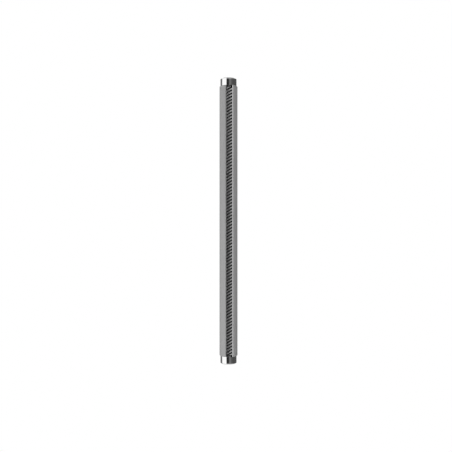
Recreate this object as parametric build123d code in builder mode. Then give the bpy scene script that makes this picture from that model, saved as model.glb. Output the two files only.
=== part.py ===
from build123d import *
import os
from math import cos, pi, radians, sin

# Coaxial screw-and-guide unit: a multi-start, high-lead screw turns inside a slotted guide tube.
# A polished end cap at each end carries a small deep-groove ball bearing for the screw's journal.
#
# Frame, millimetres: Z is the screw axis, the origin lies on it in the plane of the tube's lower end,
# where the tube butts against the lower cap's head, and the slot faces -Y.

# ---- Guide tube ----
TUBE_LENGTH = 289.0
TUBE_OD = 19.3
TUBE_BORE = 12.5
TUBE_END_BEVEL = 0.6
SLOT_WIDTH = 6.3
SLOT_BEVEL = 1.0  # 45 degrees, measured across the slot
SPIGOT_SEAT_BORE = 15.0  # wider bore in each end of the tube, for the cap's spigot
SPIGOT_SEAT_DEPTH = 10.2

# ---- End caps: a head outside the tube, a slotted spigot inside it ----
HEAD_LENGTH = 8.0
HEAD_OD = 17.2
HEAD_BEVEL = 0.5
SPIGOT_LENGTH = 10.0
SPIGOT_BORE = 12.6
WEB_HOLE = 10.0
PRESS_GAP = 0.01  # radial, so that pressed faces meet without crossing

# ---- Ball bearings, 6 x 13 x 5, both ends ----
BEARING_BORE = 6.0
BEARING_OD = 13.0
BEARING_WIDTH = 5.0
INNER_RING_OD = 8.0
OUTER_RING_ID = 11.0
BALL_DIAMETER = 2.0
BALL_COUNT = 9
PITCH_RADIUS = 4.75
RACEWAY_RADIUS = 1.03
RING_BEVEL = 0.25
CAGE_THICKNESS = 1.0
CAGE_WIDTH = 3.0
POCKET_RADIUS = 1.1
SHIELD_THICKNESS = 0.25
SHIELD_RECESS = 0.15
SHIELD_SEAT_RADIUS = 5.8
SHIELD_BORE_RADIUS = 4.2

# ---- Rings, shim and spring that hold the bearings ----
LIP = 0.72  # from the cap's outer face to the retaining ring's groove
RETAINING_THICKNESS = 1.0
RETAINING_GROOVE_RADIUS = 6.85
RETAINING_BORE_RADIUS = 5.7
EAR_CENTRE_RADIUS = 5.45
EAR_RADIUS = 0.8
EAR_HOLE_RADIUS = 0.4
EAR_ANGLE = 14.0
EAR_GAP = 1.0
SNAP_THICKNESS = 0.64
SNAP_GROOVE_RADIUS = 2.85
SNAP_OUTER_RADIUS = 3.9
SNAP_OPENING = 2.6
SEAT_GAP = 0.02  # between parts that bear on each other along the axis
SPACER_HEIGHT = 0.7  # shim below, wave spring above, between bearing and web
SPACER_OUTER_RADIUS = 6.35
SPACER_INNER_RADIUS = 5.5
SPRING_SHEET = 0.22
SPRING_WAVES = 4
SPRING_POINTS_PER_WAVE = 6

# ---- Screw ----
SCREW_OD = 12.0
SCREW_LEAD = 20.0
SCREW_STARTS = 6
GROOVE_CENTRE_RADIUS = 9.6
GROOVE_ARC_RADIUS = 4.2
THREAD_END_GAP = 0.5  # from the web to the first groove
THREAD_BEVEL = 0.6
SHOULDER_OD = 8.0
JOURNAL_RECESS = 0.4  # journal end below the cap's outer face
JOURNAL_BEVEL = 0.3
DRIVE_HEX = 3.0
DRIVE_DEPTH = 4.0

# ---- Grub screws, M3, two at each end, on the side away from the slot ----
GRUB_RADIUS = 1.48
GRUB_HOLE_RADIUS = 1.5
GRUB_LENGTH = 2.5  # its outer end stays below the tube's surface
GRUB_HEX = 1.5
GRUB_HEX_DEPTH = 1.2
GRUB_BEVEL = 0.25
GRUB_TIP_RADIUS = 6.72  # from the screw axis to the tip's face
GRUB_FROM_TUBE_END = 5.0
GRUB_ANGLES = (55.0, 125.0)  # about the screw axis, from +X

# ---- Depths from a cap's outer face, going in ----
BEARING_START = LIP + RETAINING_THICKNESS + 4 * SEAT_GAP
BEARING_MIDDLE = BEARING_START + BEARING_WIDTH / 2
BEARING_END = BEARING_START + BEARING_WIDTH
WEB_START = BEARING_END + SPACER_HEIGHT
WEB_END = WEB_START + 0.8
THREAD_START = WEB_END + THREAD_END_GAP
CAP_LENGTH = HEAD_LENGTH + SPIGOT_LENGTH

# One plane for each end, on the cap's outer face, its normal pointing into the unit
# and its -Y side on the slot.
ENDS = {
    "lower": Plane(origin=(0, 0, -HEAD_LENGTH), x_dir=(1, 0, 0), z_dir=(0, 0, 1)),
    "upper": Plane(origin=(0, 0, TUBE_LENGTH + HEAD_LENGTH), x_dir=(-1, 0, 0), z_dir=(0, 0, -1)),
}


def write(builder, name):
    """Label a finished piece and write it."""
    builder.part.label = name
    export_step(builder.part, f"parts/{name}.step")


def hex_radius(across_flats):
    """Corner radius of a hexagon from its width across flats."""
    return across_flats / 2 / cos(radians(30))


def side_plane(end):
    """The plane through the screw axis whose X is radial and whose Y runs into the unit."""
    return Plane(origin=end.origin, x_dir=end.x_dir, z_dir=-end.y_dir)


def grub_plane(end_height, angle):
    """The plane on a grub screw's tip, its normal pointing out along the screw's axis."""
    direction = Vector(cos(radians(angle)), sin(radians(angle)), 0)
    return Plane(origin=direction * GRUB_TIP_RADIUS + Vector(0, 0, end_height), z_dir=direction)


GRUB_PLANES = {
    "lower": [grub_plane(GRUB_FROM_TUBE_END, angle) for angle in GRUB_ANGLES],
    "upper": [grub_plane(TUBE_LENGTH - GRUB_FROM_TUBE_END, angle) for angle in GRUB_ANGLES],
}

os.makedirs("parts", exist_ok=True)

# ---- The slot's cross-section: open outwards, with 45 degree bevels on its outer corners ----
slot_half = SLOT_WIDTH / 2
corner_x = slot_half + SLOT_BEVEL
corner_y = -(((TUBE_OD / 2) ** 2 - corner_x**2) ** 0.5)
with BuildSketch(Plane.XY) as slot_section:
    with BuildLine():
        Polyline(
            (-slot_half, 0),
            (-slot_half, corner_y + SLOT_BEVEL),
            (-corner_x, corner_y),
            (-corner_x, -TUBE_OD),
            (corner_x, -TUBE_OD),
            (corner_x, corner_y),
            (slot_half, corner_y + SLOT_BEVEL),
            (slot_half, 0),
            close=True,
        )
    make_face()

# ---- Guide tube: one straight slot from end to end, and a tapped hole for each grub screw ----
with BuildPart() as guide_tube:
    with BuildSketch(Plane.XY):
        Circle(TUBE_OD / 2)
    extrude(amount=TUBE_LENGTH)
    chamfer(guide_tube.edges().filter_by(GeomType.CIRCLE), length=TUBE_END_BEVEL)
    with BuildSketch(Plane.XY):
        Circle(TUBE_BORE / 2)
    extrude(amount=TUBE_LENGTH, mode=Mode.SUBTRACT)
    for end in ENDS.values():
        with BuildSketch(end.offset(HEAD_LENGTH)):
            Circle(SPIGOT_SEAT_BORE / 2)
        extrude(amount=SPIGOT_SEAT_DEPTH, mode=Mode.SUBTRACT)
    extrude(slot_section.sketch, amount=TUBE_LENGTH, mode=Mode.SUBTRACT)
    for tip in GRUB_PLANES["lower"] + GRUB_PLANES["upper"]:
        with BuildSketch(tip):
            Circle(GRUB_HOLE_RADIUS)
        extrude(amount=2 * GRUB_LENGTH, mode=Mode.SUBTRACT)
write(guide_tube, "guide_tube")

# ---- Screw: grooved length, a shoulder and a journal at each end ----
with BuildSketch(Plane.XY) as thread_section:
    Circle(SCREW_OD / 2)
    with PolarLocations(GROOVE_CENTRE_RADIUS, SCREW_STARTS):
        Circle(GROOVE_ARC_RADIUS, mode=Mode.SUBTRACT)

thread_bottom = THREAD_START - HEAD_LENGTH
thread_length = TUBE_LENGTH - 2 * thread_bottom
grooved_bar = Solid.extrude_linear_with_rotation(
    thread_section.sketch.faces()[0],
    center=(0, 0, 0),
    normal=(0, 0, thread_length),
    angle=360 * thread_length / SCREW_LEAD,
).moved(Location((0, 0, thread_bottom)))

with BuildPart() as screw_shaft:
    add(grooved_bar)
    for end in ENDS.values():
        # The bevel that runs the grooves out at the end of the thread
        with BuildSketch(side_plane(end)):
            with BuildLine():
                Polyline(
                    (SCREW_OD / 2 - THREAD_BEVEL, THREAD_START),
                    (SCREW_OD / 2 + THREAD_BEVEL, THREAD_START),
                    (SCREW_OD / 2 + THREAD_BEVEL, THREAD_START + 2 * THREAD_BEVEL),
                    close=True,
                )
            make_face()
        revolve(axis=Axis.Z, mode=Mode.SUBTRACT)
        with BuildSketch(end.offset(BEARING_END)):
            Circle(SHOULDER_OD / 2)
        extrude(amount=THREAD_START - BEARING_END)
        with BuildSketch(end.offset(JOURNAL_RECESS)):
            Circle(BEARING_BORE / 2 - PRESS_GAP)
        extrude(amount=BEARING_END - JOURNAL_RECESS)
        into_unit = Axis(end.origin, end.z_dir)
        chamfer(screw_shaft.edges().sort_by(into_unit)[0], length=JOURNAL_BEVEL)
        with BuildSketch(end.offset(BEARING_START - SNAP_THICKNESS - 2 * SEAT_GAP)):
            Circle(SCREW_OD / 2)
            Circle(SNAP_GROOVE_RADIUS, mode=Mode.SUBTRACT)
        extrude(amount=SNAP_THICKNESS + 2 * SEAT_GAP, mode=Mode.SUBTRACT)
        with BuildSketch(end.offset(JOURNAL_RECESS)):
            RegularPolygon(hex_radius(DRIVE_HEX), 6)
        extrude(amount=DRIVE_DEPTH, mode=Mode.SUBTRACT)
write(screw_shaft, "screw_shaft")


def end_cap(end, grub_tips):
    """Bearing housing: polished head, web behind the bearing, and a spigot slotted like the tube."""
    with BuildPart() as cap:
        with BuildSketch(end):
            Circle(HEAD_OD / 2)
        extrude(amount=HEAD_LENGTH)
        chamfer(cap.edges().filter_by(GeomType.CIRCLE), length=HEAD_BEVEL)
        with BuildSketch(end.offset(HEAD_LENGTH - HEAD_BEVEL)):
            Circle(HEAD_OD / 2)
        extrude(amount=HEAD_BEVEL)
        with BuildSketch(end.offset(HEAD_LENGTH)):
            Circle(SPIGOT_SEAT_BORE / 2 - PRESS_GAP)
        extrude(amount=SPIGOT_LENGTH)
        # Bearing pocket and the retaining ring's groove, from outside
        with BuildSketch(end):
            Circle(BEARING_OD / 2 + PRESS_GAP)
        extrude(amount=WEB_START, mode=Mode.SUBTRACT)
        with BuildSketch(end.offset(LIP)):
            Circle(RETAINING_GROOVE_RADIUS)
        extrude(amount=BEARING_START - LIP, mode=Mode.SUBTRACT)
        # Hole through the web, and the wide bore round the screw behind it
        with BuildSketch(end):
            Circle(WEB_HOLE / 2)
        extrude(amount=CAP_LENGTH, mode=Mode.SUBTRACT)
        with BuildSketch(end.offset(WEB_END)):
            Circle(SPIGOT_BORE / 2)
        extrude(amount=CAP_LENGTH - WEB_END, mode=Mode.SUBTRACT)
        # The tube's slot goes on through the spigot
        with BuildSketch(end.offset(HEAD_LENGTH)):
            add(slot_section.sketch)
        extrude(amount=SPIGOT_LENGTH, mode=Mode.SUBTRACT)
        for tip in grub_tips:
            with BuildSketch(tip.offset(-SEAT_GAP)):
                Circle(GRUB_HOLE_RADIUS)
            extrude(amount=2 * GRUB_LENGTH, mode=Mode.SUBTRACT)
    return cap


def bearing_outer_ring(end):
    """Outer ring: raceway in the middle, a seat for the shield on each side."""
    seat_depth = SHIELD_RECESS + SHIELD_THICKNESS
    with BuildPart() as ring:
        with BuildSketch(end.offset(BEARING_START)):
            Circle(BEARING_OD / 2)
        extrude(amount=BEARING_WIDTH)
        chamfer(ring.edges().filter_by(GeomType.CIRCLE), length=RING_BEVEL)
        with BuildSketch(end.offset(BEARING_START)):
            Circle(OUTER_RING_ID / 2)
        extrude(amount=BEARING_WIDTH, mode=Mode.SUBTRACT)
        for depth in (BEARING_START, BEARING_END - seat_depth):
            with BuildSketch(end.offset(depth)):
                Circle(SHIELD_SEAT_RADIUS)
            extrude(amount=seat_depth, mode=Mode.SUBTRACT)
        with BuildSketch(side_plane(end)):
            with Locations((PITCH_RADIUS, BEARING_MIDDLE)):
                Circle(RACEWAY_RADIUS)
        revolve(axis=Axis.Z, mode=Mode.SUBTRACT)
    return ring


def bearing_inner_ring(end):
    """Inner ring with its raceway."""
    with BuildPart() as ring:
        with BuildSketch(end.offset(BEARING_START)):
            Circle(INNER_RING_OD / 2)
            Circle(BEARING_BORE / 2, mode=Mode.SUBTRACT)
        extrude(amount=BEARING_WIDTH)
        chamfer(ring.edges().filter_by(GeomType.CIRCLE), length=RING_BEVEL / 2)
        with BuildSketch(side_plane(end)):
            with Locations((PITCH_RADIUS, BEARING_MIDDLE)):
                Circle(RACEWAY_RADIUS)
        revolve(axis=Axis.Z, mode=Mode.SUBTRACT)
    return ring


def bearing_balls(end):
    """All balls of one bearing, as separate solids."""
    with BuildPart(end.offset(BEARING_MIDDLE)) as balls:
        with PolarLocations(PITCH_RADIUS, BALL_COUNT):
            Sphere(BALL_DIAMETER / 2)
    return balls


def bearing_cage(end):
    """Ring with one round pocket for each ball."""
    with BuildPart(end.offset(BEARING_MIDDLE)) as cage:
        Cylinder(PITCH_RADIUS + CAGE_THICKNESS / 2, CAGE_WIDTH)
        Cylinder(PITCH_RADIUS - CAGE_THICKNESS / 2, CAGE_WIDTH, mode=Mode.SUBTRACT)
        with PolarLocations(PITCH_RADIUS, BALL_COUNT):
            Cylinder(POCKET_RADIUS, 2 * CAGE_THICKNESS, rotation=(0, 90, 0), mode=Mode.SUBTRACT)
    return cage


def bearing_shield(end, depth):
    """Thin washer pressed into the outer ring, clear of the inner ring."""
    with BuildPart() as shield:
        with BuildSketch(end.offset(depth)):
            Circle(SHIELD_SEAT_RADIUS - PRESS_GAP)
            Circle(SHIELD_BORE_RADIUS, mode=Mode.SUBTRACT)
        extrude(amount=SHIELD_THICKNESS)
    return shield


def retaining_ring(end):
    """Internal ring with two drilled ears, seated in the cap's groove."""
    with BuildPart() as ring:
        with BuildSketch(end.offset(BEARING_START - SEAT_GAP - RETAINING_THICKNESS)):
            Circle(RETAINING_GROOVE_RADIUS - 2 * SEAT_GAP)
            Circle(RETAINING_BORE_RADIUS, mode=Mode.SUBTRACT)
            ears = PolarLocations(EAR_CENTRE_RADIUS, 2, 90 - EAR_ANGLE, 2 * EAR_ANGLE, endpoint=True)
            with ears:
                Circle(EAR_RADIUS)
                Circle(EAR_HOLE_RADIUS, mode=Mode.SUBTRACT)
            with Locations((0, EAR_CENTRE_RADIUS)):
                Rectangle(EAR_GAP, 4 * EAR_RADIUS, mode=Mode.SUBTRACT)
        extrude(amount=RETAINING_THICKNESS)
    return ring


def shaft_ring(end):
    """Open snap ring in the journal's groove, against the bearing's inner ring."""
    with BuildPart() as ring:
        with BuildSketch(end.offset(BEARING_START - SEAT_GAP - SNAP_THICKNESS)):
            Circle(SNAP_OUTER_RADIUS)
            Circle(SNAP_GROOVE_RADIUS + SEAT_GAP, mode=Mode.SUBTRACT)
            with Locations((0, SNAP_OUTER_RADIUS)):
                Rectangle(SNAP_OPENING, SNAP_OUTER_RADIUS, mode=Mode.SUBTRACT)
        extrude(amount=SNAP_THICKNESS)
    return ring


for side, end in ENDS.items():
    write(end_cap(end, GRUB_PLANES[side]), f"{side}_end_cap")
    write(bearing_outer_ring(end), f"{side}_bearing_outer_ring")
    write(bearing_inner_ring(end), f"{side}_bearing_inner_ring")
    write(bearing_balls(end), f"{side}_bearing_balls")
    write(bearing_cage(end), f"{side}_bearing_cage")
    outer_shield_depth = BEARING_START + SHIELD_RECESS
    inner_shield_depth = BEARING_END - SHIELD_RECESS - SHIELD_THICKNESS
    write(bearing_shield(end, outer_shield_depth), f"{side}_bearing_outer_shield")
    write(bearing_shield(end, inner_shield_depth), f"{side}_bearing_inner_shield")
    write(retaining_ring(end), f"{side}_retaining_ring")
    write(shaft_ring(end), f"{side}_shaft_ring")

# ---- Shim under the lower, fixed bearing ----
with BuildPart() as lower_shim:
    with BuildSketch(ENDS["lower"].offset(BEARING_END + SEAT_GAP)):
        Circle(SPACER_OUTER_RADIUS)
        Circle(SPACER_INNER_RADIUS, mode=Mode.SUBTRACT)
    extrude(amount=SPACER_HEIGHT - 2 * SEAT_GAP)
write(lower_shim, "lower_shim")


def wave_points(radius):
    """Points round one edge of the wave spring's lower face, rising and falling between its seats."""
    count = SPRING_WAVES * SPRING_POINTS_PER_WAVE
    swing = (SPACER_HEIGHT - SPRING_SHEET) / 2 - SEAT_GAP
    points = []
    for step in range(count):
        turn = 2 * pi * step / count
        height = swing * (1 + cos(SPRING_WAVES * turn)) + SEAT_GAP
        points.append((radius * cos(turn), radius * sin(turn), height))
    return points


# ---- Wave spring that preloads the upper, floating bearing ----
spring_seat = TUBE_LENGTH + HEAD_LENGTH - WEB_START
inner_wave = Edge.make_spline(wave_points(SPACER_INNER_RADIUS), periodic=True)
outer_wave = Edge.make_spline(wave_points(SPACER_OUTER_RADIUS), periodic=True)
wave_sheet = Face.make_surface_from_curves(inner_wave, outer_wave).moved(Location((0, 0, spring_seat)))
with BuildPart() as upper_wave_spring:
    extrude(wave_sheet, amount=SPRING_SHEET, dir=(0, 0, 1))
write(upper_wave_spring, "upper_wave_spring")

# ---- Grub screws ----
with BuildPart() as grub_screws:
    for tip in GRUB_PLANES["lower"] + GRUB_PLANES["upper"]:
        with BuildSketch(tip):
            Circle(GRUB_RADIUS)
        extrude(amount=GRUB_LENGTH)
    chamfer(grub_screws.edges().filter_by(GeomType.CIRCLE), length=GRUB_BEVEL)
    for tip in GRUB_PLANES["lower"] + GRUB_PLANES["upper"]:
        with BuildSketch(tip.offset(GRUB_LENGTH)):
            RegularPolygon(hex_radius(GRUB_HEX), 6)
        extrude(amount=-GRUB_HEX_DEPTH, mode=Mode.SUBTRACT)
write(grub_screws, "grub_screws")
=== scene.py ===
import math

import bpy
from mathutils import Matrix, Vector


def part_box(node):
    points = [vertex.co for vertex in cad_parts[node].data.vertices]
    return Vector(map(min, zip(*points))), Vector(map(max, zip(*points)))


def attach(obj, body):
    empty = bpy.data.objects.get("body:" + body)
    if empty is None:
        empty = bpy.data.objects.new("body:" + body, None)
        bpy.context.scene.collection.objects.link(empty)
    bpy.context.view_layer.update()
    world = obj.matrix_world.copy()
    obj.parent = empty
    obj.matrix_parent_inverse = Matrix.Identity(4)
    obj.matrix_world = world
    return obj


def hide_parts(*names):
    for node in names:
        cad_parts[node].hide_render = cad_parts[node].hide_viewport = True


# The looks of a slotted guide tube with a multi-start screw inside it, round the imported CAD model.
# Metres, in the CAD frame: Z is the screw axis, its zero is the tube's lower end, the slot faces -Y.

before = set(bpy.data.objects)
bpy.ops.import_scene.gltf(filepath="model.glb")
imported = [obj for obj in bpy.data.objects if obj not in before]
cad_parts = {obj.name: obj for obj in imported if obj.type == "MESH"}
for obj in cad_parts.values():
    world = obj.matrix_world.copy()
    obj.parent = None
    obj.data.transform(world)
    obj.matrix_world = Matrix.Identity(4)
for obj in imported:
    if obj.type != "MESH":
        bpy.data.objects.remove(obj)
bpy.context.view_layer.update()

MM = 0.001

# ---- Sizes that the frame gives ----
TUBE_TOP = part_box("guide_tube")[1][2]
CAP_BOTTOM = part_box("lower_end_cap")[0][2]
CAP_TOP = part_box("upper_end_cap")[1][2]
HEAD_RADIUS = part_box("lower_end_cap")[1][0]
SPIGOT_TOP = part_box("lower_end_cap")[1][2]
SCREW_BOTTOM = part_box("screw_shaft")[0][2]
SCREW_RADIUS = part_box("screw_shaft")[1][0]

# ---- Sizes repeated from the CAD design ----
TUBE_RADIUS = 9.65 * MM
TUBE_BORE_RADIUS = 6.25 * MM
TUBE_SEAT_RADIUS = 7.5 * MM
TUBE_SEAT_DEPTH = 10.2 * MM
TUBE_END_BEVEL = 0.6 * MM
SLOT_HALF = 3.15 * MM
SLOT_BEVEL = 1.0 * MM
GRUB_HOLE_RADIUS = 1.5 * MM
GRUB_TIP_RADIUS = 6.7 * MM
GRUB_FROM_TUBE_END = 5.0 * MM
GRUB_ANGLES = (55.0, 125.0)
LEAD = 20.0 * MM
STARTS = 6
GROOVE_CENTRE = 9.6 * MM
GROOVE_RADIUS = 4.2 * MM
SPIGOT_RADIUS = 7.49 * MM
SPIGOT_BORE = 6.3 * MM
POCKET_RADIUS = 6.51 * MM
RING_GROOVE_RADIUS = 6.85 * MM
WEB_RADIUS = 5.0 * MM
HEAD_BEVEL = 0.5 * MM
# Distance from the axis to the foot of the slot's bevels
BEVEL_FOOT = math.sqrt(TUBE_RADIUS**2 - (SLOT_HALF + SLOT_BEVEL) ** 2) - SLOT_BEVEL


# =====================================================================================
# Mesh helpers
# =====================================================================================


SHARP_ANGLE = 30


def new_piece(name, verts, faces, smooth_angle=SHARP_ANGLE):
    """A mesh object with smooth faces and sharp edges above an angle, in degrees."""
    mesh = bpy.data.meshes.new(name)
    mesh.from_pydata(verts, [], faces)
    mesh.validate()
    piece = bpy.data.objects.new(name, mesh)
    bpy.context.scene.collection.objects.link(piece)
    smooth(piece, smooth_angle)
    return piece


def smooth(piece, angle):
    """Smooth shading with sharp edges above an angle, in degrees."""
    mesh = piece.data
    mesh.shade_smooth()
    mesh.set_sharp_from_angle(angle=math.radians(angle))


def loft(rings, closed=False):
    """Vertices and quads that join rings of equally many points, each ring closed on itself."""
    count = len(rings[0])
    verts = [point for ring in rings for point in ring]
    faces = []
    steps = len(rings) if closed else len(rings) - 1
    for step in range(steps):
        low = step * count
        high = ((step + 1) % len(rings)) * count
        for k in range(count):
            nxt = (k + 1) % count
            faces.append((low + k, low + nxt, high + nxt, high + k))
    return verts, faces


def circle(radius, z, count):
    """Points round the screw axis."""
    turn = 2 * math.pi / count
    return [(radius * math.cos(turn * k), radius * math.sin(turn * k), z) for k in range(count)]


def lathe(name, profile, count=256):
    """A closed (radius, height) outline turned round the screw axis."""
    verts, faces = loft([circle(r, z, count) for r, z in profile], closed=True)
    return new_piece(name, verts, faces)


def rounded(profile, radius, steps=3):
    """The outline with each corner that bends 20 degrees or more turned into a small arc."""
    least_bend = math.radians(20)
    most_of_edge = 0.45
    out = []
    points = [Vector(p) for p in profile]
    for i, corner in enumerate(points):
        before = points[i - 1] - corner
        after = points[(i + 1) % len(points)] - corner
        bend = math.pi - before.angle(after)
        reach = radius * math.tan(bend / 2)
        reach = min(reach, before.length * most_of_edge, after.length * most_of_edge)
        if bend < least_bend or reach <= 0:
            out.append(tuple(corner))
            continue
        start = corner + before.normalized() * reach
        end = corner + after.normalized() * reach
        for k in range(steps + 1):
            t = k / steps
            point = start * (1 - t) ** 2 + corner * 2 * t * (1 - t) + end * t**2
            out.append(tuple(point))
    return out


def cut(piece, cutters):
    """The piece without the cutters' space. The cutters are used up."""
    for cutter in cutters:
        modifier = piece.modifiers.new("cut", "BOOLEAN")
        modifier.operation = "DIFFERENCE"
        modifier.solver = "EXACT"
        modifier.object = cutter
    bpy.context.view_layer.update()
    graph = bpy.context.evaluated_depsgraph_get()
    mesh = bpy.data.meshes.new_from_object(piece.evaluated_get(graph))
    piece.modifiers.clear()
    piece.data = mesh
    for cutter in cutters:
        bpy.data.objects.remove(cutter)
    smooth(piece, SHARP_ANGLE)


def finish_piece(piece, material, body, slot_name, *nodes):
    """Gives a new piece its material and its body, and hides the CAD nodes it stands for. slot_name
    is not used.
    """
    piece.data.materials.clear()
    piece.data.materials.append(material)
    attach(piece, body)
    if nodes:
        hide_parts(*nodes)


# =====================================================================================
# Materials: all procedural, in object coordinates
# =====================================================================================


def math_node(tree, operation, a, b=None):
    """A math node's output. Each input may be a number or another node's output."""
    node = tree.nodes.new("ShaderNodeMath")
    node.operation = operation
    for socket, value in zip(node.inputs, (a, b)):
        if value is None:
            continue
        if isinstance(value, (int, float)):
            socket.default_value = value
        else:
            tree.links.new(value, socket)
    return node.outputs[0]


def mix_node(tree, factor, low, high):
    """A colour between two, by a 0 to 1 factor. Each may be a colour or a node's output."""
    node = tree.nodes.new("ShaderNodeMix")
    node.data_type = "RGBA"
    tree.links.new(factor, node.inputs["Factor"])
    for socket, color in ((node.inputs["A"], low), (node.inputs["B"], high)):
        if isinstance(color, tuple):
            socket.default_value = (*color, 1)
        else:
            tree.links.new(color, socket)
    return node.outputs["Result"]


class Shader:
    """A material's node tree, with one Principled BSDF."""

    def __init__(self, name, color, metallic, roughness):
        self.material = bpy.data.materials.new(name)
        self.material.use_nodes = True
        self.tree = self.material.node_tree
        self.bsdf = self.tree.nodes["Principled BSDF"]
        self.bsdf.inputs["Base Color"].default_value = (*color, 1)
        self.bsdf.inputs["Metallic"].default_value = metallic
        self.bsdf.inputs["Roughness"].default_value = roughness
        coords = self.tree.nodes.new("ShaderNodeTexCoord")
        to_mm = self.tree.nodes.new("ShaderNodeVectorMath")
        to_mm.operation = "SCALE"
        to_mm.inputs["Scale"].default_value = 1 / MM
        self.tree.links.new(coords.outputs["Object"], to_mm.inputs[0])
        self.mm = to_mm.outputs[0]

    def link(self, out, socket):
        self.tree.links.new(out, socket)

    def math(self, operation, a, b=None):
        return math_node(self.tree, operation, a, b)

    def stretch(self, factors, source=None):
        """Millimetre coordinates, multiplied axis by axis."""
        node = self.tree.nodes.new("ShaderNodeVectorMath")
        node.operation = "MULTIPLY"
        self.link(source or self.mm, node.inputs[0])
        node.inputs[1].default_value = factors
        return node.outputs[0]

    def radius(self):
        """Distance from the screw axis, in millimetres."""
        node = self.tree.nodes.new("ShaderNodeVectorMath")
        node.operation = "LENGTH"
        self.link(self.stretch((1, 1, 0)), node.inputs[0])
        return node.outputs["Value"]

    def noise(self, per_mm, detail=2.0, source=None, rough=0.5):
        node = self.tree.nodes.new("ShaderNodeTexNoise")
        node.inputs["Scale"].default_value = per_mm
        node.inputs["Detail"].default_value = detail
        node.inputs["Roughness"].default_value = rough
        self.link(source or self.mm, node.inputs["Vector"])
        return node.outputs["Fac"]

    def remap(self, value, low, high, out_low, out_high):
        node = self.tree.nodes.new("ShaderNodeMapRange")
        node.inputs["From Min"].default_value = low
        node.inputs["From Max"].default_value = high
        node.inputs["To Min"].default_value = out_low
        node.inputs["To Max"].default_value = out_high
        self.link(value, node.inputs["Value"])
        return node.outputs["Result"]

    def axes(self):
        """The millimetre coordinates, one by one."""
        node = self.tree.nodes.new("ShaderNodeSeparateXYZ")
        self.link(self.mm, node.inputs[0])
        return node.outputs

    def blend(self, factor, low, high):
        """A number between two, by a 0 to 1 factor."""
        part = self.math("MULTIPLY", factor, self.math("SUBTRACT", high, low))
        return self.math("ADD", low, part)

    def shade(self, factor, dark, light):
        return mix_node(self.tree, factor, dark, light)

    def bump(self, height, distance_mm):
        node = self.tree.nodes.new("ShaderNodeBump")
        node.inputs["Strength"].default_value = 1
        node.inputs["Distance"].default_value = distance_mm * MM
        self.link(height, node.inputs["Height"])
        self.link(node.outputs["Normal"], self.bsdf.inputs["Normal"])


def grey(value):
    return (value, value, value)


def coating_material():
    """Matte dry-film coating with a fine speckle, and bare milled steel in the slot and the bore."""
    s = Shader("coating", grey(0.33), 0.0, 0.6)
    speckle = s.noise(5.0, 3.0)
    cloud = s.noise(0.05, 2.0)
    tone = s.math("ADD", s.math("MULTIPLY", speckle, 0.7), s.math("MULTIPLY", cloud, 0.3))
    coat = s.shade(s.remap(tone, 0.3, 0.7, 0, 1), grey(0.315), grey(0.355))
    coat_rough = s.remap(speckle, 0.3, 0.7, 0.55, 0.7)
    # Bare in the bore and on the slot's faces; the coating reaches further over the +X edge
    left_wrap = 0.04
    right_wrap = 0.6
    axes = s.axes()
    side = axes["X"]
    edge = s.remap(side, -3, 3, TUBE_RADIUS / MM - left_wrap, TUBE_RADIUS / MM - right_wrap)
    in_slot = s.math("LESS_THAN", s.math("ABSOLUTE", side), (SLOT_HALF + SLOT_BEVEL) / MM)
    in_slot = s.math("MULTIPLY", in_slot, s.math("LESS_THAN", axes["Y"], 0))
    in_slot = s.math("MULTIPLY", in_slot, s.math("LESS_THAN", s.radius(), edge))
    in_bore = s.math("LESS_THAN", s.radius(), TUBE_SEAT_RADIUS / MM + 0.02)
    bare = s.math("MAXIMUM", in_slot, in_bore)
    milled = s.noise(1.2, 3.0, s.stretch((1.0, 1.0, 8.0)))
    s.link(s.shade(bare, coat, s.shade(milled, grey(0.64), grey(0.80))), s.bsdf.inputs["Base Color"])
    s.link(s.blend(bare, coat_rough, 0.3), s.bsdf.inputs["Roughness"])
    s.link(bare, s.bsdf.inputs["Metallic"])
    s.bsdf.inputs["Specular IOR Level"].default_value = 0.3
    s.bump(s.noise(8.0, 2.0), 0.006)
    return s.material


def cap_material():
    """Mirror-polished steel with faint turning lines and smears."""
    s = Shader("polished_steel", grey(0.74), 1.0, 0.04)
    lines = s.noise(1.0, 2.0, s.stretch((0.2, 0.2, 14.0)))
    smears = s.noise(0.6, 3.0)
    tone = s.shade(s.remap(smears, 0.35, 0.65, 0, 1), grey(0.71), grey(0.77))
    s.link(tone, s.bsdf.inputs["Base Color"])
    s.link(s.remap(smears, 0.35, 0.7, 0.03, 0.07), s.bsdf.inputs["Roughness"])
    s.bump(lines, 0.0004)
    return s.material


def screw_material():
    """Satin ground lands and journals; the ball grooves between the lands get a near-black base
    colour, which is painted shade for their recess.
    """
    s = Shader("screw_steel", grey(0.5), 1.0, 0.2)
    # Radii in millimetres: the groove's wall near the crest, and all of the journals
    wall_start, wall_end, journal_limit = 5.86, 5.98, 5
    land = s.remap(s.radius(), wall_start, wall_end, 0, 1)
    land = s.math("MAXIMUM", land, s.math("LESS_THAN", s.radius(), journal_limit))
    grain = s.noise(4.0, 3.0, s.stretch((1.0, 1.0, 0.6)))
    # Painted shade: the grooves' near-black base colour stands in for the shade deep in the ball
    # grooves; the lands keep their steel colour.
    groove_painted_shade = s.shade(grain, grey(0.045), grey(0.065))
    land_tone = s.shade(grain, grey(0.62), grey(0.70))
    s.link(s.shade(land, groove_painted_shade, land_tone), s.bsdf.inputs["Base Color"])
    s.link(s.blend(land, 0.45, 0.29), s.bsdf.inputs["Roughness"])
    s.bump(grain, 0.0008)
    return s.material


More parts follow.
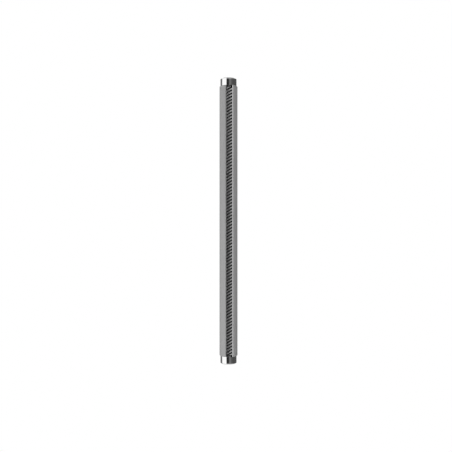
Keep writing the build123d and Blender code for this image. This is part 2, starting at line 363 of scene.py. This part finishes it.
def turned_material(name, tone, roughness, rings_per_mm, depth_mm):
    """Machined steel with fine concentric lines round the screw axis."""
    s = Shader(name, grey(tone), 1.0, roughness)
    across = s.tree.nodes.new("ShaderNodeCombineXYZ")
    s.link(s.radius(), across.inputs["X"])
    lines = s.noise(rings_per_mm, 2.0, across.outputs[0])
    spots = s.noise(1.5, 2.0)
    s.link(s.shade(spots, grey(tone * 0.88), grey(tone * 1.08)), s.bsdf.inputs["Base Color"])
    s.link(s.remap(spots, 0.3, 0.7, roughness * 0.8, roughness * 1.25), s.bsdf.inputs["Roughness"])
    s.bump(lines, depth_mm)
    return s.material


def dark_steel_material(name, tone, roughness):
    """Blackened or phosphated steel: dark, slightly mottled, satin."""
    s = Shader(name, grey(tone), 0.6, roughness)
    mottle = s.noise(3.0, 3.0)
    s.link(s.shade(mottle, grey(tone * 0.7), grey(tone * 1.4)), s.bsdf.inputs["Base Color"])
    s.link(s.remap(mottle, 0.3, 0.7, roughness * 0.8, roughness * 1.2), s.bsdf.inputs["Roughness"])
    s.bump(s.noise(9.0, 2.0), 0.003)
    return s.material


def cage_material():
    """Moulded polyamide with a fine grain."""
    s = Shader("cage_polymer", (0.62, 0.56, 0.42), 0.0, 0.5)
    grain = s.noise(3.0, 2.0)
    s.link(s.shade(grain, (0.55, 0.49, 0.36), (0.66, 0.6, 0.46)), s.bsdf.inputs["Base Color"])
    s.bump(s.noise(12.0, 1.0), 0.003)
    return s.material


COATING = coating_material()
CAP_STEEL = cap_material()
SCREW_STEEL = screw_material()
RING_STEEL = turned_material("ring_steel", 0.55, 0.18, 9.0, 0.002)
SHIELD_STEEL = turned_material("shield_steel", 0.5, 0.28, 6.0, 0.004)
BALL_STEEL = turned_material("ball_steel", 0.72, 0.05, 20.0, 0.0002)
SHIM_STEEL = turned_material("shim_steel", 0.5, 0.3, 12.0, 0.002)
SPRING_STEEL = dark_steel_material("spring_steel", 0.07, 0.4)
GRUB_STEEL = dark_steel_material("grub_steel", 0.05, 0.35)
CAGE_POLYMER = cage_material()


# =====================================================================================
# Guide tube
# =====================================================================================


def slot_corner(radius):
    """Where the slot's outline meets a circle of this radius, as x and depth towards -Y."""
    if math.hypot(SLOT_HALF, BEVEL_FOOT) >= radius:
        return SLOT_HALF, math.sqrt(radius**2 - SLOT_HALF**2)
    # On the 45 degree bevel: x = SLOT_HALF + t, y = BEVEL_FOOT + t
    b = SLOT_HALF + BEVEL_FOOT
    c = SLOT_HALF**2 + BEVEL_FOOT**2 - radius**2
    t = (-b + math.sqrt(b * b - 2 * c)) / 2
    return SLOT_HALF + t, BEVEL_FOOT + t


def slotted_arc(radius, steps):
    """Points of a circle from the slot's +X side round the back to its -X side."""
    x, depth = slot_corner(radius)
    start = math.atan2(-depth, x)
    sweep = 2 * math.pi - 2 * (math.pi / 2 + start)
    points = []
    for k in range(steps + 1):
        angle = start + sweep * k / steps
        points.append((radius * math.cos(angle), radius * math.sin(angle)))
    return points


def tube_ring(outer_radius, inner_radius, z):
    """The slotted tube's outline at a height: outside with the bevels' feet, then back inside.

    The inside has two more steps, so that both halves have equally many points.
    """
    steps = 180
    outer = [(SLOT_HALF, -BEVEL_FOOT), *slotted_arc(outer_radius, steps), (-SLOT_HALF, -BEVEL_FOOT)]
    inner = slotted_arc(inner_radius, steps + 2)
    return [(px, py, z) for px, py in outer + inner[::-1]]


def end_quads(first, half, flip):
    """Quads that close a slotted ring between its outer and inner points."""
    quads = []
    for k in range(half - 1):
        quad = (first + k, first + k + 1, first + 2 * half - 2 - k, first + 2 * half - 1 - k)
        quads.append(quad[::-1] if flip else quad)
    return quads


def make_tube():
    seat_corner = 0.1 * MM
    outline = [
        (TUBE_RADIUS - TUBE_END_BEVEL, TUBE_SEAT_RADIUS, 0),
        (TUBE_RADIUS, TUBE_SEAT_RADIUS, TUBE_END_BEVEL),
        (TUBE_RADIUS, TUBE_SEAT_RADIUS, TUBE_SEAT_DEPTH - seat_corner),
        (TUBE_RADIUS, TUBE_BORE_RADIUS, TUBE_SEAT_DEPTH),
    ]
    outline += [(outer, inner, TUBE_TOP - z) for outer, inner, z in reversed(outline)]
    rings = [tube_ring(*section) for section in outline]
    verts, faces = loft(rings)
    half = len(rings[0]) // 2
    faces += end_quads(0, half, True)
    faces += end_quads((len(rings) - 1) * 2 * half, half, False)
    tube = new_piece("guide_tube_body", verts, faces)
    cut(tube, [grub_drill(z, angle) for z in grub_heights() for angle in GRUB_ANGLES])
    finish_piece(tube, COATING, "guide", "tube_coating", "guide_tube")


def grub_heights():
    return (GRUB_FROM_TUBE_END, TUBE_TOP - GRUB_FROM_TUBE_END)


def grub_drill(z, angle):
    """A round cutter that runs outwards from a grub screw's tip."""
    direction = Vector((math.cos(math.radians(angle)), math.sin(math.radians(angle)), 0))
    turn = direction.to_track_quat("Z", "Y").to_matrix().to_4x4()
    place = Matrix.Translation(Vector((0, 0, z))) @ turn
    count = 48
    reach = (GRUB_TIP_RADIUS, 2 * TUBE_RADIUS)
    verts, faces = loft([circle(GRUB_HOLE_RADIUS, z, count) for z in reach])
    faces += [tuple(range(count))[::-1], tuple(range(count, 2 * count))]
    verts = [place @ Vector(v) for v in verts]
    return new_piece("drill", verts, faces)


# =====================================================================================
# End caps
# =====================================================================================

# Depths in from a cap's outer face
LIP = 0.72 * MM
GROOVE_END = 1.8 * MM
WEB_START = 7.5 * MM
WEB_END = 8.3 * MM
HEAD_LENGTH = 8.0 * MM
CAP_LENGTH = SPIGOT_TOP - CAP_BOTTOM


def make_cap(side):
    mouth = 0.25 * MM
    edge_radius = 0.12 * MM
    profile = [
        (HEAD_RADIUS - HEAD_BEVEL, 0),
        (HEAD_RADIUS, HEAD_BEVEL),
        (HEAD_RADIUS, HEAD_LENGTH),
        (SPIGOT_RADIUS, HEAD_LENGTH),
        (SPIGOT_RADIUS, CAP_LENGTH),
        (SPIGOT_BORE, CAP_LENGTH),
        (SPIGOT_BORE, WEB_END),
        (WEB_RADIUS, WEB_END),
        (WEB_RADIUS, WEB_START),
        (POCKET_RADIUS, WEB_START),
        (POCKET_RADIUS, GROOVE_END),
        (RING_GROOVE_RADIUS, GROOVE_END),
        (RING_GROOVE_RADIUS, LIP),
        (POCKET_RADIUS, LIP),
        (POCKET_RADIUS, mouth),
        (POCKET_RADIUS + mouth, 0),
    ]
    profile = rounded(profile, edge_radius)
    if side == "lower":
        turned = [(r, CAP_BOTTOM + depth) for r, depth in profile]
        slot_low, slot_high, grub_z = 0, 2 * SPIGOT_TOP, grub_heights()[0]
    else:
        turned = [(r, CAP_TOP - depth) for r, depth in profile][::-1]
        slot_low, slot_high, grub_z = TUBE_TOP - 2 * SPIGOT_TOP, TUBE_TOP, grub_heights()[1]
    cap = lathe(side + "_cap_body", turned)
    outline = [(-SLOT_HALF, 0), (-SLOT_HALF, -TUBE_RADIUS), (SLOT_HALF, -TUBE_RADIUS), (SLOT_HALF, 0)]
    verts, faces = loft([[(x, y, z) for x, y in outline] for z in (slot_low, slot_high)])
    slot = new_piece("slot", verts, faces + [(3, 2, 1, 0), (4, 5, 6, 7)])
    cut(cap, [slot] + [grub_drill(grub_z, angle) for angle in GRUB_ANGLES])
    finish_piece(cap, CAP_STEEL, "guide", "polished_cap_steel", side + "_end_cap")


# =====================================================================================
# Screw
# =====================================================================================

POINTS_PER_START = 20
RING_POINTS = STARTS * POINTS_PER_START
RING_STEP = 0.4 * MM
THREAD_BOTTOM = 0.8 * MM
THREAD_RUNOUT = 0.6 * MM


def thread_radius(angle, land):
    """Radius of the screw's cross-section, with softened crest edges."""
    pitch = 2 * math.pi / STARTS
    off = (angle + pitch / 2) % pitch - pitch / 2
    across = GROOVE_CENTRE * math.sin(off)
    if abs(across) >= GROOVE_RADIUS:
        return land
    groove = GROOVE_CENTRE * math.cos(off) - math.sqrt(GROOVE_RADIUS**2 - across**2)
    soft = 0.05 * MM
    blend = max(0.0, 1 - abs(groove - land) / soft)
    return min(groove, land) - soft * blend**2 / 4


def thread_ring(z, land):
    twist = 2 * math.pi * (z - THREAD_BOTTOM) / LEAD
    points = []
    for k in range(RING_POINTS):
        angle = 2 * math.pi * k / RING_POINTS
        r = thread_radius(angle, land)
        points.append((r * math.cos(angle + twist), r * math.sin(angle + twist), z))
    return points


def hexagon(across_flats, z):
    """A hexagon with as many points as a thread ring."""
    points = []
    for k in range(RING_POINTS):
        angle = 2 * math.pi * k / RING_POINTS
        off = angle % (math.pi / 3) - math.pi / 6
        r = across_flats / 2 / math.cos(off)
        points.append((r * math.cos(angle), r * math.sin(angle), z))
    return points


def journal_rings(end_z, inward):
    """From the bottom of the drive socket, out over the journal's end and up to the thread.

    inward is +1 at the lower end and -1 at the upper end.
    """
    hexagon_width = 3.0 * MM
    socket_depth = 4.0 * MM
    journal = 2.99 * MM
    groove = 2.85 * MM
    shoulder = 4.0 * MM
    bevel = 0.3 * MM
    groove_start = 0.72 * MM
    groove_end = 1.4 * MM
    shoulder_start = 6.4 * MM
    thread_start = abs(THREAD_BOTTOM - SCREW_BOTTOM)
    crisp = 0.02 * MM
    socket_bevel = 0.08 * MM
    socket_tip = 0.5 * MM

    def at(depth):
        return end_z + inward * depth

    rings = [hexagon(crisp, at(socket_depth + socket_tip)), hexagon(hexagon_width, at(socket_depth))]
    rings.append(hexagon(hexagon_width, at(socket_bevel)))
    rings.append(hexagon(hexagon_width + 2 * socket_bevel, at(0)))
    outline = [
        (journal - bevel, 0),
        (journal, bevel),
        (journal, groove_start),
        (groove, groove_start + crisp),
        (groove, groove_end - crisp),
        (journal, groove_end),
        (journal, shoulder_start - crisp),
        (shoulder - bevel / 2, shoulder_start),
        (shoulder, shoulder_start + bevel / 2),
        (shoulder, thread_start - crisp),
    ]
    rings += [circle(radius, at(depth), RING_POINTS) for radius, depth in outline]
    return rings


def make_screw():
    thread_top = TUBE_TOP - THREAD_BOTTOM
    core = 5.3 * MM
    rings = journal_rings(SCREW_BOTTOM, 1)
    rings.append(circle(core, THREAD_BOTTOM, RING_POINTS))
    runout_steps = 3
    for k in range(runout_steps):
        t = k / runout_steps
        land = SCREW_RADIUS - THREAD_RUNOUT * (1 - t)
        rings.append(thread_ring(THREAD_BOTTOM + THREAD_RUNOUT * t, land))
    length = thread_top - THREAD_BOTTOM - 2 * THREAD_RUNOUT
    steps = round(length / RING_STEP)
    for k in range(steps + 1):
        rings.append(thread_ring(THREAD_BOTTOM + THREAD_RUNOUT + length * k / steps, SCREW_RADIUS))
    for k in range(runout_steps - 1, -1, -1):
        t = k / runout_steps
        land = SCREW_RADIUS - THREAD_RUNOUT * (1 - t)
        rings.append(thread_ring(thread_top - THREAD_RUNOUT * t, land))
    rings.append(circle(core, thread_top, RING_POINTS))
    rings += journal_rings(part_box("screw_shaft")[1][2], -1)[::-1]
    verts, faces = loft(rings)
    last = (len(rings) - 1) * RING_POINTS
    faces.append(tuple(range(RING_POINTS))[::-1])
    faces.append(tuple(range(last, last + RING_POINTS)))
    screw = new_piece("screw_body", verts, faces, smooth_angle=35)
    finish_piece(screw, SCREW_STEEL, "screw", "screw_steel", "screw_shaft")


# =====================================================================================
# Bearing shields: pressed washers with a rolled outer edge and a turned-in lip
# =====================================================================================


def make_shield(node, outward):
    """outward is +1 if the shield's show side looks up, -1 if down."""
    low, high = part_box(node)
    outer = high[0]
    inner = 4.2 * MM
    thickness = high[2] - low[2]
    sheet = 0.14 * MM
    show, hide = (high[2], low[2]) if outward > 0 else (low[2], high[2])
    step = -outward * (thickness - sheet)
    back = -outward * sheet
    # Widths measured in from the outer edge, and out from the inner one
    rim_foot, rim_root = 0.35 * MM, 0.42 * MM
    lip_back_root, lip_back_foot = 0.5 * MM, 0.32 * MM
    lip_foot, lip_root = 0.26 * MM, 0.42 * MM
    edge_radius = 0.05 * MM
    profile = [
        (outer, show),
        (outer, hide),
        (outer - rim_foot, hide),
        (outer - rim_root, show + back),
        (inner + lip_back_root, show + back),
        (inner + lip_back_foot, hide),
        (inner, hide),
        (inner, show + step),
        (inner + lip_foot, show + step),
        (inner + lip_root, show),
    ]
    # The order that turns the faces outwards
    if outward > 0:
        profile = profile[::-1]
    shield = lathe(node + "_sheet", rounded(profile, edge_radius, 2), 192)
    finish_piece(shield, SHIELD_STEEL, "guide", "shield_steel", node)


# =====================================================================================
# Carried-over CAD nodes
# =====================================================================================


def dress(node, material):
    """A CAD node keeps its shape and gets a better material."""
    for material_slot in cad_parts[node].material_slots:
        material_slot.material = material


def make_pieces():
    make_tube()
    make_screw()
    for side, out in (("lower", -1), ("upper", 1)):
        make_cap(side)
        make_shield(side + "_bearing_outer_shield", out)
        make_shield(side + "_bearing_inner_shield", -out)
        dress(side + "_bearing_outer_ring", RING_STEEL)
        dress(side + "_bearing_inner_ring", RING_STEEL)
        dress(side + "_bearing_balls", BALL_STEEL)
        dress(side + "_bearing_cage", CAGE_POLYMER)
        dress(side + "_retaining_ring", SPRING_STEEL)
        dress(side + "_shaft_ring", SPRING_STEEL)
    dress("lower_shim", SHIM_STEEL)
    dress("upper_wave_spring", SPRING_STEEL)
    dress("grub_screws", GRUB_STEEL)


# =====================================================================================
# Camera, floor and light
# =====================================================================================

CAMERA_AZIMUTH = -7.0  # degrees; the camera stands a little left of the slot
CAMERA_DISTANCE = 0.6750
CAMERA_HEIGHT = 0.1391
CAMERA_SIDE = -0.0027  # the part stands a little right of the middle of the picture
LENS = 50
SENSOR = 36


def make_camera():
    turn = math.radians(CAMERA_AZIMUTH)
    back = Vector((math.sin(turn), -math.cos(turn), 0))
    right = Vector((math.cos(turn), math.sin(turn), 0))
    data = bpy.data.cameras.new("camera")
    data.lens = LENS
    data.sensor_width = SENSOR
    data.clip_start = 0.01
    data.clip_end = 100
    camera = bpy.data.objects.new("camera", data)
    level = Vector((0, 0, CAMERA_HEIGHT))
    camera.location = back * CAMERA_DISTANCE + right * CAMERA_SIDE + level
    camera.rotation_euler = (-back).to_track_quat("-Z", "Y").to_euler()
    bpy.context.scene.collection.objects.link(camera)
    bpy.context.scene.camera = camera


def make_floor():
    """A plain pale floor, well below the part, which is held by its end."""
    drop = 0.6
    radius = 1.3
    count = 96
    centre = Vector((0, 0, CAP_BOTTOM - drop))
    verts = [Vector(p) + centre for p in circle(radius, 0, count)]
    floor = new_piece("floor", verts, [tuple(range(count))])
    s = Shader("floor_paper", grey(0.78), 0.0, 0.9)
    s.link(s.shade(s.noise(0.02, 2.0), grey(0.76), grey(0.8)), s.bsdf.inputs["Base Color"])
    floor.data.materials.append(s.material)


def smooth_step(tree, value, start, end):
    node = tree.nodes.new("ShaderNodeMapRange")
    node.interpolation_type = "SMOOTHSTEP"
    node.inputs["From Min"].default_value = start
    node.inputs["From Max"].default_value = end
    tree.links.new(value, node.inputs["Value"])
    return node.outputs["Result"]


def make_studio():
    """Soft light from above and below, with a band of panels at the part's height.

    The panels are what polished steel mirrors: a large white one on the left, a black one behind
    the camera and greys on the right. The camera itself sees plain white.
    """
    world = bpy.data.worlds.new("studio")
    bpy.context.scene.world = world
    world.use_nodes = True
    tree = world.node_tree
    tree.nodes.clear()
    links = tree.links

    def calc(operation, a, b=None):
        return math_node(tree, operation, a, b)

    coords = tree.nodes.new("ShaderNodeTexCoord")
    split = tree.nodes.new("ShaderNodeSeparateXYZ")
    links.new(coords.outputs["Generated"], split.inputs[0])
    x, y, z = split.outputs
    # Azimuth in degrees round the part, 0 at the camera and positive to its right
    turn = calc("ARCTAN2", x, calc("MULTIPLY", y, -1))
    turn = calc("SUBTRACT", calc("MULTIPLY", turn, 180 / math.pi), CAMERA_AZIMUTH)
    height = calc("ABSOLUTE", calc("MULTIPLY", calc("ARCSINE", z), 180 / math.pi))

    ramp = tree.nodes.new("ShaderNodeValToRGB")
    ramp.color_ramp.interpolation = "LINEAR"
    links.new(calc("DIVIDE", calc("ADD", turn, 180), 360), ramp.inputs["Fac"])
    panels = (
        (-180, 0.10),
        (-125, 0.14),
        (-104, 0.40),
        (-98, 1.30),
        (-33, 1.30),
        (-27, 0.02),
        (3, 0.03),
        (9, 0.17),
        (28, 0.23),
        (36, 0.14),
        (70, 0.09),
        (120, 0.10),
        (180, 0.10),
    )
    elements = ramp.color_ramp.elements
    elements[0].position = 0
    elements[1].position = 1
    while len(elements) < len(panels):
        elements.new(0.5)
    for element, (angle, level) in zip(elements, panels):
        element.position = (angle + 180) / 360
        element.color = (level, level, level, 1)

    # Above and below the panels: a bright zone, then a dim one, by the angle from level
    sky = mix_node(tree, smooth_step(tree, height, 16, 26), ramp.outputs["Color"], grey(1.32))
    sky = mix_node(tree, smooth_step(tree, height, 36, 52), sky, grey(0.3))

    light = tree.nodes.new("ShaderNodeBackground")
    links.new(sky, light.inputs["Color"])
    paper = tree.nodes.new("ShaderNodeBackground")
    paper.inputs["Color"].default_value = (1, 1, 1, 1)
    path = tree.nodes.new("ShaderNodeLightPath")
    choose = tree.nodes.new("ShaderNodeMixShader")
    links.new(path.outputs["Is Camera Ray"], choose.inputs["Fac"])
    links.new(light.outputs[0], choose.inputs[1])
    links.new(paper.outputs[0], choose.inputs[2])
    out = tree.nodes.new("ShaderNodeOutputWorld")
    links.new(choose.outputs[0], out.inputs["Surface"])
    bpy.context.scene.view_settings.view_transform = "Standard"


def make_lamp():
    """A soft lamp low in front, which lifts the lower half. No surface mirrors it."""
    data = bpy.data.lights.new("low_lamp", "AREA")
    data.energy = 0.75
    data.size = 0.25
    lamp = bpy.data.objects.new("low_lamp", data)
    lamp.location = Vector((-0.12, -0.38, -0.15))
    target = Vector((0, 0, 0.1))
    lamp.rotation_euler = (target - lamp.location).to_track_quat("-Z", "Y").to_euler()
    lamp.visible_camera = False
    lamp.visible_glossy = False
    bpy.context.scene.collection.objects.link(lamp)


make_camera()
make_pieces()
make_floor()
make_studio()
make_lamp()
